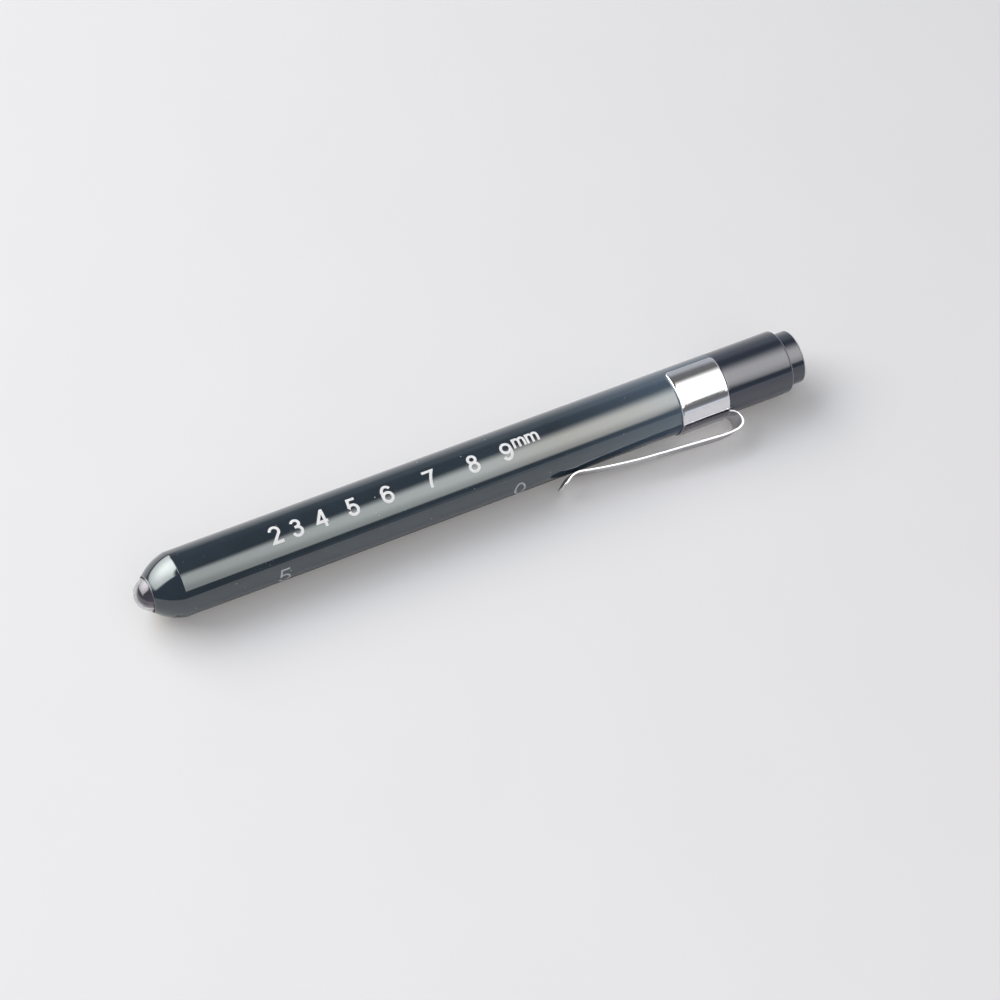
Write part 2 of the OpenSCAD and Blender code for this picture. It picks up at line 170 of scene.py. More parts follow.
# Node helpers for the materials
class Shader:
    def __init__(self, name):
        self.mat = bpy.data.materials.new(name)
        self.mat.use_nodes = True
        self.tree = self.mat.node_tree
        self.bsdf = self.tree.nodes["Principled BSDF"]
        self.coords = None

    def node(self, kind, **settings):
        n = self.tree.nodes.new(kind)
        for key, value in settings.items():
            setattr(n, key, value)
        return n

    def link(self, a, b):
        self.tree.links.new(a, b)

    def set(self, **values):
        for key, value in values.items():
            self.bsdf.inputs[key.replace("_", " ")].default_value = value

    def place(self, stretch=(1, 1, 1)):
        """Object coordinates, stretched."""
        if self.coords is None:
            self.coords = self.node("ShaderNodeTexCoord")
        scale = self.node("ShaderNodeMapping")
        scale.inputs["Scale"].default_value = stretch
        self.link(self.coords.outputs["Object"], scale.inputs["Vector"])
        return scale.outputs["Vector"]

    def noise(self, scale, detail=3, stretch=(1, 1, 1)):
        n = self.node("ShaderNodeTexNoise")
        n.inputs["Scale"].default_value = scale
        n.inputs["Detail"].default_value = detail
        self.link(self.place(stretch), n.inputs["Vector"])
        return n.outputs["Fac"]

    def spread(self, value, low, high, start=0.3, end=0.7):
        m = self.node("ShaderNodeMapRange")
        m.inputs["From Min"].default_value = start
        m.inputs["From Max"].default_value = end
        m.inputs["To Min"].default_value = low
        m.inputs["To Max"].default_value = high
        self.link(value, m.inputs["Value"])
        return m.outputs["Result"]

    def colours(self, value, stops):
        ramp = self.node("ShaderNodeValToRGB")
        elements = ramp.color_ramp.elements
        while len(elements) < len(stops):
            elements.new(0.5)
        for e, (at, colour) in zip(elements, stops):
            e.position = at
            e.color = (*colour, 1)
        self.link(value, ramp.inputs["Fac"])
        return ramp.outputs["Color"]

    def mix(self, factor, a, b):
        m = self.node("ShaderNodeMix", data_type="RGBA")
        self.link(factor, m.inputs[0])
        for socket, value in ((m.inputs[6], a), (m.inputs[7], b)):
            if isinstance(value, tuple):
                socket.default_value = (*value, 1)
            else:
                self.link(value, socket)
        return m.outputs[2]

    def maths(self, kind, a, b):
        m = self.node("ShaderNodeMath", operation=kind)
        for socket, value in ((m.inputs[0], a), (m.inputs[1], b)):
            if isinstance(value, (int, float)):
                socket.default_value = value
            else:
                self.link(value, socket)
        return m.outputs[0]

    def bump(self, value, strength, distance):
        b = self.node("ShaderNodeBump")
        b.inputs["Strength"].default_value = strength
        b.inputs["Distance"].default_value = distance
        self.link(value, b.inputs["Height"])
        self.link(b.outputs["Normal"], self.bsdf.inputs["Normal"])

    def dust(self, scale, size, share):
        """Small scattered specks, 1 on a speck and 0 elsewhere."""
        v = self.node("ShaderNodeTexVoronoi")
        v.inputs["Scale"].default_value = scale
        self.link(self.place(), v.inputs["Vector"])
        split = self.node("ShaderNodeSeparateColor")
        self.link(v.outputs["Color"], split.inputs["Color"])
        near = self.maths("LESS_THAN", v.outputs["Distance"], size)
        some = self.maths("LESS_THAN", split.outputs["Red"], share)
        return self.maths("MULTIPLY", near, some)


def plain(name, colour, metallic, roughness, scale=900, change=0.12):
    """A finish with fine mottling in its colour and roughness."""
    s = Shader(name)
    s.set(Metallic=metallic)
    grain = s.noise(scale)
    low = tuple(c * (1 - change) for c in colour)
    high = tuple(min(1.0, c * (1 + change)) for c in colour)
    s.link(s.colours(grain, ((0.3, low), (0.7, high))), s.bsdf.inputs["Base Color"])
    s.link(s.spread(grain, roughness * 0.8, roughness * 1.2), s.bsdf.inputs["Roughness"])
    s.bump(grain, 0.08, 0.00004)
    return s.mat


# Dark anodising, darker towards the nose and lighter towards the clip, with fine drawn lines and dust,
# and painted highlights: a lighter colour on narrow bands at the edges
def anodised(name, nose, tail, tint, ior, roughness, dusty, highlight_spans, highlight_colour):
    s = Shader(name)
    s.set(Metallic=0.0, IOR=ior, Coat_Weight=0.3, Coat_Roughness=roughness)
    s.bsdf.inputs["Specular Tint"].default_value = (*tint, 1)
    axes = s.node("ShaderNodeSeparateXYZ")
    s.link(s.place(), axes.inputs["Vector"])
    along = s.spread(axes.outputs["X"], 0, 1, -0.11, -0.031)
    half_way = tuple(0.87 * a + 0.13 * b for a, b in zip(nose, tail))
    # The colour is darker towards the nose and lighter towards the clip
    nose_to_clip_colour = s.colours(along, ((0.0, nose), (0.7, half_way), (1.0, tail)))
    lines = s.noise(1400, 4, (0.03, 1, 1))
    cloud = s.noise(240, 2)
    lighter = s.spread(cloud, 0.0, 0.07)
    toned_colour = s.mix(lighter, nose_to_clip_colour, tuple(1.3 * c for c in tail))
    specks = s.dust(620, 0.075, dusty)
    fine = s.dust(1500, 0.13, dusty * 0.2)
    dusted = s.mix(fine, s.mix(specks, toned_colour, (0.34, 0.37, 0.38)), (0.14, 0.16, 0.17))
    # Painted highlight: the narrow bands get a lighter colour, standing in for the bright lines along
    # rounded edges
    highlit = None
    for x0, x1 in highlight_spans:
        after = s.maths("GREATER_THAN", axes.outputs["X"], x0 * MM)
        before = s.maths("LESS_THAN", axes.outputs["X"], x1 * MM)
        here = s.maths("MULTIPLY", after, before)
        highlit = here if highlit is None else s.maths("ADD", highlit, here)
    s.link(s.mix(highlit, dusted, highlight_colour), s.bsdf.inputs["Base Color"])
    drawn = s.spread(lines, roughness * 0.75, roughness * 1.25)
    rougher = s.maths("MAXIMUM", s.maths("MULTIPLY", specks, 0.6), s.maths("MULTIPLY", highlit, 0.4))
    s.link(s.maths("MAXIMUM", drawn, rougher), s.bsdf.inputs["Roughness"])
    s.bump(lines, 0.03, 0.00003)
    return s.mat


barrel_finish = anodised(
    "barrel_anodised", nose=(0.011, 0.021, 0.032), tail=(0.06, 0.09, 0.128), tint=(0.95, 1.0, 0.985),
    ior=1.78, roughness=0.075, dusty=0.32,
    # Painted highlight on the nose's front rim round the lens
    highlight_spans=((-139.2, -139.04),), highlight_colour=(0.11, 0.11, 0.125),
)
tail_finish = anodised(
    "tail_anodised", nose=(0.017, 0.025, 0.042), tail=(0.017, 0.025, 0.042), tint=(1.0, 0.965, 1.0),
    ior=1.72, roughness=0.085, dusty=0.32,
    # Painted highlights on the cap's rear edge and the button's rounded end
    highlight_spans=((-3.5, -3.36), (-0.3, -0.03)), highlight_colour=(0.55, 0.555, 0.58),
)


# Bright plating with faint rub marks and softer edges
def chrome():
    s = Shader("clip_chrome")
    s.set(Metallic=1.0)
    haze = s.noise(500, 4)
    rubs = s.noise(2600, 3, (0.08, 1, 1))
    plating = s.colours(haze, ((0.3, (0.74, 0.735, 0.76)), (0.7, (0.79, 0.785, 0.805))))
    s.link(plating, s.bsdf.inputs["Base Color"])
    rim = s.node("ShaderNodeAttribute", attribute_name="rim")
    matt = s.maths("MULTIPLY", rim.outputs["Fac"], 0.38)
    s.link(s.maths("MAXIMUM", s.spread(rubs, 0.03, 0.07), matt), s.bsdf.inputs["Roughness"])
    s.bump(haze, 0.04, 0.00004)
    return s.mat


chrome_finish = chrome()


# Clear lens and tinted lamp resin
def clear(name, colour, ior, roughness, coat, clearness):
    s = Shader(name)
    s.set(IOR=ior, Transmission_Weight=clearness)
    s.bsdf.inputs["Base Color"].default_value = (*colour, 1)
    s.bsdf.inputs["Specular Tint"].default_value = (1.0, 0.9, 1.0, 1)
    s.set(Coat_Weight=coat, Coat_IOR=1.5, Coat_Roughness=roughness)
    cloud = s.noise(300, 2)
    s.link(s.spread(cloud, roughness * 0.7, roughness * 1.3), s.bsdf.inputs["Roughness"])
    return s.mat


lens_finish = clear("clear_lens", (0.5, 0.495, 0.5), ior=1.49, roughness=0.015, coat=0.8, clearness=1.0)
resin_finish = clear("lamp_resin", (0.7, 0.69, 0.93), ior=1.5, roughness=0.03, coat=0.0, clearness=0.78)

# Finishes of the pieces inside; node_finish is for those whose CAD shapes stay
steel = plain("spring_steel", (0.66, 0.67, 0.68), 1.0, 0.25)
brass = plain("contact_brass", (0.75, 0.57, 0.26), 1.0, 0.24)
node_finish = {
    "led_anode_lead": plain("tinned_wire", (0.7, 0.71, 0.72), 1.0, 0.3),
    "lamp_holder": plain("white_plastic", (0.8, 0.8, 0.77), 0.0, 0.45),
    "centre_contact": brass,
    "ground_leaf": plain("leaf_bronze", (0.7, 0.46, 0.26), 1.0, 0.28),
    "front_cell_can": plain("cell_can", (0.7, 0.72, 0.73), 1.0, 0.3),
    "front_cell_jacket": plain("cell_jacket", (0.1, 0.24, 0.15), 0.0, 0.3),
    "front_cell_cap": plain("cell_cap", (0.75, 0.76, 0.77), 1.0, 0.22),
    "front_cell_washer": plain("cell_washer", (0.8, 0.77, 0.7), 0.0, 0.7, 1500, 0.2),
    "battery_spring": steel,
    "contact_disc": brass,
    "contact_insulator": plain("nylon", (0.78, 0.76, 0.7), 0.0, 0.5),
    "contact_plunger": brass,
}
node_finish["led_cathode_lead"] = node_finish["led_anode_lead"]
for piece in ("can", "jacket", "cap", "washer"):
    node_finish["rear_cell_" + piece] = node_finish["front_cell_" + piece]
for node, finish in node_finish.items():
    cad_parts[node].data.materials.clear()
    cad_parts[node].data.materials.append(finish)


def dress(obj, finish, slot, body, *nodes):
    """Gives a piece its finish and body, and hides the CAD nodes that it stands for."""
    obj.data.materials.clear()
    obj.data.materials.append(finish)
    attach(obj, body)
    if nodes:
        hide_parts(*nodes)
    return obj


# Barrel with its rounded nose, lens seat, bore and thread relief
CHAMFER = 0.08
BORE_R = 5.45
RELIEF_X = 107.0
RELIEF_R = 5.75
shoulder = arc(0.123, 5.3, 1.2, 0.123, -0.1, 6)
nose = shoulder + arc(1.903, -3.828, 10.5, -0.115, -5.37, 56)
lens_seat = [
    (-5.46, 3.71), (-5.5, 3.66), (-5.5, 3.53), (-5.46, 3.5), (-2.0, 3.5), (-2.0, 4.58), (-1.0, 4.58),
]
bore = [
    (-1.0, BORE_R), (RELIEF_X, BORE_R), (RELIEF_X, RELIEF_R),
    (BARREL_END - CHAMFER, RELIEF_R), (BARREL_END, RELIEF_R + CHAMFER),
]
rear_edge = [(BARREL_END, BARREL_R - CHAMFER), (BARREL_END - CHAMFER, BARREL_R)]
barrel = lathe("barrel_shell", rear_edge + nose + lens_seat + bore, FINE_TURN)
dress(barrel, barrel_finish, "barrel_anodised", "barrel", "barrel")

# Tail cap and button with turned edges, each point as (x, r, corner radius)
CAP_R = 6.45
CAP_END = 130.33
LIP_X = 128.8
BUTTON_R = 5.4
cap_outline = rounded([
    (BARREL_END, CAP_R, 0.1), (BARREL_END, 5.73, 0), (LIP_X, 5.73, 0), (LIP_X, 5.45, 0.05),
    (CAP_END, 5.45, 0.12), (CAP_END, CAP_R, 0.5), (129.5, CAP_R, 0), (116.1, CAP_R, 0),
])
cap = lathe("tail_cap_sleeve", cap_outline, FINE_TURN)
dress(cap, tail_finish, "tail_anodised", "tail_cap", "tail_cap")
button_outline = rounded([
    (TAIL_X, 0, 0), (TAIL_X, 4.8, 0), (TAIL_X, BUTTON_R, 0.4), (133.0, BUTTON_R, 0),
    (129.1, BUTTON_R, 0), (LIP_X, BUTTON_R, 0.04), (LIP_X, 5.68, 0.08), (127.6, 5.68, 0.08),
    (127.6, 4.4, 0), (131.9, 4.4, 0), (131.9, 0, 0),
])
button = lathe("tail_button", button_outline, FINE_TURN)
dress(button, tail_finish, "tail_anodised", "push_button", "push_button")

# Brass collar with the thread that the cap screws in by
THREAD_X0 = 107.5
THREAD_X1 = 115.6
THREAD_R = 5.7
THREAD_DEPTH = 0.26
THREAD_RUN_OUT = 0.5
PITCH = 1.0
COLLAR_END = 121.0
COLLAR_BORE_R = 4.65


def collar_thread():
    bm = bmesh.new()
    segments = 96
    step = PITCH / 16
    rings = []
    for i in range(int((THREAD_X1 - THREAD_X0) / step) + 1):
        x = THREAD_X0 + step * i
        fade = min(1.0, (x - THREAD_X0) / THREAD_RUN_OUT, (THREAD_X1 - x) / THREAD_RUN_OUT)
        ring = []
        for k in range(segments):
            a = 2 * math.pi * k / segments
            phase = (x / PITCH - k / segments) % 1.0
            groove = max(0.0, fade) * min(1.0, 1.6 * abs(2 * phase - 1))
            r = THREAD_R - THREAD_DEPTH * groove
            ring.append(bm.verts.new(row(x, r * math.cos(a), r * math.sin(a))))
        rings.append(ring)
    plain_part = (
        (COLLAR_END, THREAD_R), (COLLAR_END, COLLAR_BORE_R), (117.6, COLLAR_BORE_R), (117.6, 1.9),
        (116.0, 1.9), (116.0, COLLAR_BORE_R), (THREAD_X0, COLLAR_BORE_R),
    )
    rings += [ring_of(bm, x, r, segments) for x, r in plain_part]
    bridge_round(bm, rings)
    return finish_mesh(bm, "collar_thread")


dress(collar_thread(), brass, "contact_brass", "tail_cap", "threaded_collar")

# Button spring, whose end turns lie flat, on a mesh of its own; the real spring shortens as the button
# goes in
SPRING_X0 = 117.6
SPRING_X1 = 131.4
SPRING_R = 3.3
SPRING_TURNS = 7
WIRE_R = 0.24
WIRE_GAP = 0.02


def button_coil():
    bm = bmesh.new()
    sides = 10
    per_turn = 40
    closed_pitch = 2 * (WIRE_R + WIRE_GAP)
    length = SPRING_X1 - SPRING_X0 - closed_pitch
    open_pitch = (length - 2 * closed_pitch) / (SPRING_TURNS - 2)
    x = SPRING_X0 + WIRE_R + WIRE_GAP
    rings = []
    for k in range(SPRING_TURNS * per_turn + 1):
        a = 2 * math.pi * k / per_turn
        ring = []
        for j in range(sides):
            b = 2 * math.pi * j / sides
            r = SPRING_R + WIRE_R * math.cos(b)
            ring.append(bm.verts.new(row(x + WIRE_R * math.sin(b), r * math.cos(a), r * math.sin(a))))
        rings.append(ring)
        turned = (k + 0.5) / per_turn
        closed = turned < 1 or turned > SPRING_TURNS - 1
        x += (closed_pitch if closed else open_pitch) / per_turn
    for one, two in zip(rings, rings[1:]):
        bridge(bm, one, two)
    bm.faces.new(rings[0])
    bm.faces.new(rings[-1])
    return finish_mesh(bm, "button_coil", 50)


spring = dress(button_coil(), steel, "spring_steel", "tail_cap", "button_spring")
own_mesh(spring)

# Lens dome and, within it, the lamp with its cup and die
LENS_X = -4.85
LENS_R = 3.35
LENS_INSIDE_R = 2.75
LAMP_X = -4.95
LAMP_R = 2.5
flange = [(-2.0, LENS_R), (-2.0, 4.5), (-1.95, 4.55), (-1.0, 4.55), (-1.0, LENS_INSIDE_R)]
inside = half_dome(LENS_X, LENS_INSIDE_R, 40)
inside.reverse()
lens = lathe("lens_dome", half_dome(LENS_X, LENS_R, 40) + flange + inside, 160)
dress(lens, lens_finish, "clear_lens", "barrel", "lens")
lamp_foot = [(1.6, LAMP_R), (1.6, 2.9), (2.6, 2.9), (2.6, 0)]
lamp = lathe("lamp_body", half_dome(LAMP_X, LAMP_R, 30) + lamp_foot, 96)
dress(lamp, resin_finish, "lamp_resin", "barrel", "led_lamp")
cup_outline = [
    (-3.5, 0.55), (-3.95, 0.95), (-3.95, 1.1), (-2.7, 0.75), (1.5, 0.3), (1.5, 0), (-3.5, 0),
]
cup = lathe("lamp_cup", cup_outline, 48)
dress(cup, node_finish["led_anode_lead"], "tinned_wire", "barrel")
die_outline = [(-3.98, 0), (-3.92, 0.45), (-3.8, 0.8), (-3.55, 0.5), (-3.55, 0)]
die = lathe("lamp_die", die_outline, 48)
dress(die, plain("lamp_phosphor", (0.85, 0.62, 0.08), 0.0, 0.5), "lamp_resin", "barrel")

# Chrome clip: the band, whose corners are round, and the arm, swept along its path
SHEET = 0.42
SHEET_R = 6.75
EDGE = 0.19
EDGE_STEPS = 4
BAND_X0 = 105.0
BAND_X1 = 115.5
BAND_HALF = math.radians(136) * SHEET_R
BAND_COLS = 22
BAND_ROWS = 128
CORNER = 0.8
CORNER_STEPS = 9
ARM_HALF = 3.0
ARM_BLEND = 0.3
ARM_COLS = 16


def on_clip(x, radial, side):
    """A point of the clip, given along the axis, out along the arm's side and across it."""
    c = math.cos(CLIP_ANGLE)
    s = math.sin(CLIP_ANGLE)
    return row(x, -radial * c + side * s, -radial * s - side * c)


def sheet_rounds(inset):
    """Steps round a sheet's edge from its top to its foot, as (outward, height)."""
    out = []
    for a in spaced(0, math.pi / 2, EDGE_STEPS):
        out.append((EDGE * math.sin(a) * inset, SHEET / 2 - EDGE * inset * (1 - math.cos(a))))
    return out + [(o, -h) for o, h in reversed(out)]


def beside_arm(side):
    """0 where the band runs on into the arm, and 1 clear of it."""
    return max(0.0, min(1.0, (abs(side) - ARM_HALF) / ARM_BLEND))


def band_grid():
    """The band laid flat inside its rounded edge: lines of (x, distance round)."""
    straight = BAND_HALF - CORNER
    turn_r = CORNER - EDGE
    ends = []
    for a in spaced(0, math.pi / 2, CORNER_STEPS):
        ends.append(-BAND_HALF + EDGE + turn_r * (1 - math.cos(a)))
    spots = ends + spaced(-straight, straight, BAND_ROWS)[1:-1] + [-s for s in reversed(ends)]
    grid = []
    for s in spots:
        depth = max(0.0, abs(s) - straight)
        cut = turn_r - math.sqrt(max(0.0, turn_r * turn_r - depth * depth))
        x0 = BAND_X0 + EDGE + cut
        x1 = BAND_X1 - EDGE * beside_arm(s) - cut
        grid.append([(x, s) for x in spaced(x0, x1, BAND_COLS)])
    return grid


def band_mesh():
    bm = bmesh.new()
    rim = bm.verts.layers.float.new("rim")
    flat = band_grid()

    def put(x, s, h):
        a = s / SHEET_R
        return bm.verts.new(on_clip(x, (SHEET_R + h) * math.cos(a), (SHEET_R + h) * math.sin(a)))

    top = [[put(x, s, SHEET / 2) for x, s in line] for line in flat]
    foot = [[put(x, s, -SHEET / 2) for x, s in line] for line in flat]
    for grid in (top, foot):
        for one, two in zip(grid, grid[1:]):
            for k in range(BAND_COLS):
                bm.faces.new((one[k], one[k + 1], two[k + 1], two[k]))
    last = len(flat) - 1
    loop = [(0, k) for k in range(BAND_COLS)] + [(j, BAND_COLS) for j in range(last)]
    loop += [(last, k) for k in range(BAND_COLS, 0, -1)] + [(j, 0) for j in range(last, 0, -1)]
    points = [Vector(flat[j][k]) for j, k in loop]
    total = len(points)
    outward = []
    amounts = []
    for i, p in enumerate(points):
        along = (points[(i + 1) % total] - p).normalized() + (p - points[i - 1]).normalized()
        outward.append(Vector((along.y, -along.x)).normalized())
        behind = p.x > BAND_X1 - EDGE - 0.001
        amounts.append(beside_arm(p.y) if behind else 1.0)
    previous = [top[j][k] for j, k in loop]
    for step in range(1, 2 * EDGE_STEPS + 1):
        ring = []
        for p, way, amount in zip(points, outward, amounts):
            o, h = sheet_rounds(max(amount, 0.02))[step]
            q = p + way * o
            vert = put(q.x, q.y, h)
            vert[rim] = amount
            ring.append(vert)
        bridge(bm, previous, ring)
        previous = ring
    bridge(bm, previous, [foot[j][k] for j, k in loop])
    return finish_mesh(bm, "clip_collar", 50)


dress(band_mesh(), chrome_finish, "clip_chrome", "barrel", "clip_band")

# The arm's middle line, each stretch as (radius, turn in degrees, straight length)
ARM_SLOPE = 4.3023
ARM_PATH = [
    (0, 0, 0.2), (1.75, 90, 0), (1.2, 60, 0), (3.8, 24, 0), (20, 6 + ARM_SLOPE, 0), (0, 0, 13.8),
    (125, 6.4, 0), (0, 0, 1.7), (3.6, -46, 0), (29, 5.6, 0),
]
TIP_R = 2.3
TIP_STEPS = 24


def arm_line():
    """Points of the arm's middle line as (x, radial, heading, length run so far)."""
    x = BAND_X1
    r = SHEET_R
    heading = 0.0
    run = 0.0
    out = [(x, r, heading, run)]
    for radius, turn, straight in ARM_PATH:
        if straight:
            steps = max(2, int(straight / 0.7))
            for _ in range(steps):
                x += math.cos(heading) * straight / steps
                r += math.sin(heading) * straight / steps
                run += straight / steps
                out.append((x, r, heading, run))
            continue
        length = radius * abs(math.radians(turn))
        steps = max(8, int(abs(turn) / 4))
        for _ in range(steps):
            swing = math.radians(turn) / steps
            chord = 2 * radius * math.sin(abs(swing) / 2)
            x += math.cos(heading + swing / 2) * chord
            r += math.sin(heading + swing / 2) * chord
            heading += swing
            run += length / steps
            out.append((x, r, heading, run))
    return out


def arm_stations():
    """The middle line's points, closer together round the arm's tip, and its whole length."""
    line = arm_line()
    whole = line[-1][3]
    out = [p for p in line if p[3] < whole - TIP_R]
    start = out[-1]
    track = [start] + [p for p in line if p[3] >= whole - TIP_R]
    for k in range(1, TIP_STEPS + 1):
        want = start[3] + (whole - start[3]) * math.sin(math.pi / 2 * k / TIP_STEPS)
        for a, b in zip(track, track[1:]):
            if a[3] <= want <= b[3] + 1e-9:
                t = (want - a[3]) / (b[3] - a[3])
                out.append(tuple(u + (v - u) * t for u, v in zip(a, b)))
                break
    return out, whole


def arm_section(half, thick, edge):
    """The outline across the arm, with rounded edges, as (side, height)."""
    flat = half - edge
    top = thick / 2
    upper = spaced(-flat, flat, ARM_COLS)
    turns = spaced(0, math.pi / 2, EDGE_STEPS)
    section = [(s, top) for s in upper]
    section += [(flat + edge * math.sin(a), top - edge * (1 - math.cos(a))) for a in turns[1:]]
    section += [(flat + edge * math.cos(a), -top + edge * (1 - math.sin(a))) for a in turns]
    section += [(s, -top) for s in reversed(upper[:-1])]
    section += [(-flat - edge * math.sin(a), -top + edge * (1 - math.cos(a))) for a in turns[1:]]
    section += [(-flat - edge * math.cos(a), top - edge * (1 - math.sin(a))) for a in turns[:-1]]
    return section


def arm_rim(side, height, flat):
    """How far a point of the arm counts as edge: the under face counts in part."""
    if abs(side) > flat + 1e-6:
        return 1.0
    return 0.0 if height > 0 else 0.7


def arm_mesh():
    bm = bmesh.new()
    rim = bm.verts.layers.float.new("rim")
    stations, whole = arm_stations()
    rings = []
    for x, r, heading, run in stations:
        over = max(0.0, run - (whole - TIP_R))
        taper = 0.8 * smooth(8, 38, run)
        half = ARM_HALF - taper - TIP_R + math.sqrt(max(0.0, TIP_R * TIP_R - over * over))
        thick = SHEET + 0.08 * smooth(0, 3, run)
        bend = (1 - smooth(0, 2.6, run)) / SHEET_R
        edge = EDGE * min(1.0, 0.05 + run / 0.8)
        ring = []
        for s, h in arm_section(half, thick, edge):
            side = s
            lift = h
            if bend > 1e-6:
                radius = 1 / bend + h
                side = radius * math.sin(s * bend)
                lift = radius * math.cos(s * bend) - 1 / bend
            spot = on_clip(x - math.sin(heading) * lift, r + math.cos(heading) * lift, side)
            vert = bm.verts.new(spot)
            vert[rim] = arm_rim(s, h, half - edge)
            ring.append(vert)
        rings.append(ring)
    for one, two in zip(rings, rings[1:]):
        bridge(bm, one, two)
    bm.faces.new(rings[0])
    bm.faces.new(rings[-1])
    return finish_mesh(bm, "clip_spring_arm", 50)


dress(arm_mesh(), chrome_finish, "clip_chrome", "clip_arm", "clip_arm")


# Printed gauge and scale, laid on the barrel's face
def ink(name, colour, roughness):
    s = Shader(name)
    s.set(Metallic=0.0)
    wear = s.noise(2600, 3)
    worn = tuple(0.86 * c for c in colour)
    s.link(s.colours(wear, ((0.35, worn), (0.6, colour))), s.bsdf.inputs["Base Color"])
    s.link(s.spread(wear, roughness, roughness + 0.15), s.bsdf.inputs["Roughness"])
    return s.mat


white_ink = ink("gauge_ink", (0.86, 0.865, 0.875), 0.45)
grey_ink = ink("scale_ink", (0.44, 0.46, 0.48), 0.5)


def bow(cx, cy, rx, ry, start, end):
    """Points of an elliptic bow, with its angles in degrees."""
    n = max(4, int(abs(end - start) / 8))
    out = []
    for k in range(n + 1):
        a = math.radians(start + (end - start) * k / n)
        out.append((cx + rx * math.cos(a), cy + ry * math.sin(a)))
    return out


# The strokes of each figure; a numeral is 0.67 wide and 1 high
SIX = [
    bow(0.36, 0.52, 0.29, 0.408, 38, 180) + [(0.07, 0.33)],
    bow(0.335, 0.325, 0.263, 0.253, 180, -180),
]
EM = [
    [(0.12, 0), (0.12, 1)],
    bow(0.3925, 0.6, 0.2725, 0.29, 170, 0) + [(0.665, 0)],
    bow(0.9375, 0.6, 0.2725, 0.29, 170, 0) + [(1.21, 0)],
]
STROKES = {
    "0": [bow(0.335, 0.5, 0.263, 0.428, 90, -270)],
    "2": [bow(0.325, 0.69, 0.25, 0.238, 172, -42) + [(0.1, 0.072), (0.655, 0.072)]],
    "3": [
        bow(0.32, 0.735, 0.212, 0.193, 162, -90) + [(0.23, 0.542)],
        bow(0.32, 0.305, 0.255, 0.233, 90, -168),
    ],
    "4": [[(0.5, 0), (0.5, 0.995)], [(0.49, 0.955), (0.075, 0.295), (0.67, 0.295)]],
    "5": [[(0.6, 0.928), (0.185, 0.928), (0.125, 0.5)] + bow(0.325, 0.335, 0.265, 0.263, 140, -168)],
    "6": SIX,
    "7": [[(0.02, 0.928), (0.62, 0.928), (0.47, 0.68), (0.37, 0.45), (0.305, 0.22), (0.28, 0)]],
    "8": [bow(0.335, 0.735, 0.212, 0.193, -90, 270), bow(0.335, 0.3, 0.258, 0.228, 90, -270)],
    "9": [[(0.67 - x, 1 - y) for x, y in stroke] for stroke in SIX],
    "m": EM + [[(x + 1.41, y) for x, y in stroke] for stroke in EM],
}


FIGURE_W = 0.67
STROKE_HALF = 0.07
STROKE_STEP = 0.2
INK_LIFT = 0.012
STROKE_LIFT = 0.003


def printed(name, figure, x, phi, height, width, weight, finish):
    """Lays a figure on the barrel: x is its middle, phi the angle of its foot."""
    bm = bmesh.new()
    across = max(px for stroke in STROKES[figure] for px, py in stroke) + STROKE_HALF
    for lift, stroke in enumerate(STROKES[figure]):
        path = [Vector(((px - across / 2) * width / FIGURE_W, py * height)) for px, py in stroke]
        closed = (path[0] - path[-1]).length < 1e-6
        fine = [path[0]]
        for a, b in zip(path, path[1:]):
            parts = int((b - a).length / STROKE_STEP) + 1
            fine += [a.lerp(b, k / parts) for k in range(1, parts + 1)]
        if closed:
            fine.pop()
        n = len(fine)
        ribs = []
        for i, p in enumerate(fine):
            before = fine[i - 1] if closed or i else p
            after = fine[(i + 1) % n] if closed or i < n - 1 else p
            one = (p - before).normalized()
            two = (after - p).normalized()
            along = (one + two).normalized()
            spread = 1 / max(0.55, along.dot(two if two.length else one))
            side = Vector((-along.y, along.x)) * spread * weight / 2
            rib = []
            for k in (-1, 0, 1):
                q = p + side * k
                angle = VIEW_ANGLE + math.radians(phi) + q.y / BARREL_R
                r = BARREL_R + INK_LIFT + STROKE_LIFT * lift
                rib.append(bm.verts.new(row(x + q.x, -r * math.cos(angle), r * math.sin(angle))))
            ribs.append(rib)
        for i in range(n if closed else n - 1):
            one = ribs[i]
            two = ribs[(i + 1) % n]
            for k in (0, 1):
                bm.faces.new((one[k], two[k], two[k + 1], one[k + 1]))
    mesh = bpy.data.meshes.new(name)
    bm.to_mesh(mesh)
    bm.free()
    dress(new_object(name, mesh), finish, "barrel_anodised", "barrel")


GAUGE = (
    (2, 20.05, 3.7), (3, 24.2, 2.6), (4, 29.4, 3.3), (5, 35.85, 3.1),
    (6, 43.05, 3.0), (7, 52.1, 2.2), (8, 61.2, 0.8), (9, 68.4, 0.5),
)
for figure, at, foot in GAUGE:
    printed("gauge_figure_%d" % figure, str(figure), at, foot, 3.65, 2.35, 0.57, white_ink)
printed("gauge_unit", "m", 72.8, 16.2, 2.05, 1.36, 0.5, white_ink)
printed("scale_figure_5", "5", 19.7, -80, 4.3, 2.65, 0.4, grey_ink)
printed("scale_figure_0", "0", 69.4, -82, 4.15, 2.6, 0.4, grey_ink)

# Floor, which passes into the pale backdrop far from the part
BACKDROP = (0.79, 0.785, 0.8)
FLOOR_HALF = 3.0
PALE_FROM = 0.3
PALE_TO = 0.9
floor_bm = bmesh.new()
bmesh.ops.create_grid(floor_bm, x_segments=2, y_segments=2, size=FLOOR_HALF)
floor = finish_mesh(floor_bm, "floor")
floor.location = (0, 0, FLOOR_Z * MM)


def shown_rays(tree):
    """1 for rays from the camera, a reflection or a clear piece, and 0 for the rest."""
    path = tree.nodes.new("ShaderNodeLightPath")
    shown = path.outputs["Is Camera Ray"]
    for kind in ("Is Glossy Ray", "Is Transmission Ray"):
        either = tree.nodes.new("ShaderNodeMath")
        either.operation = "MAXIMUM"
        tree.links.new(shown, either.inputs[0])
        tree.links.new(path.outputs[kind], either.inputs[1])
        shown = either.outputs[0]
    return shown


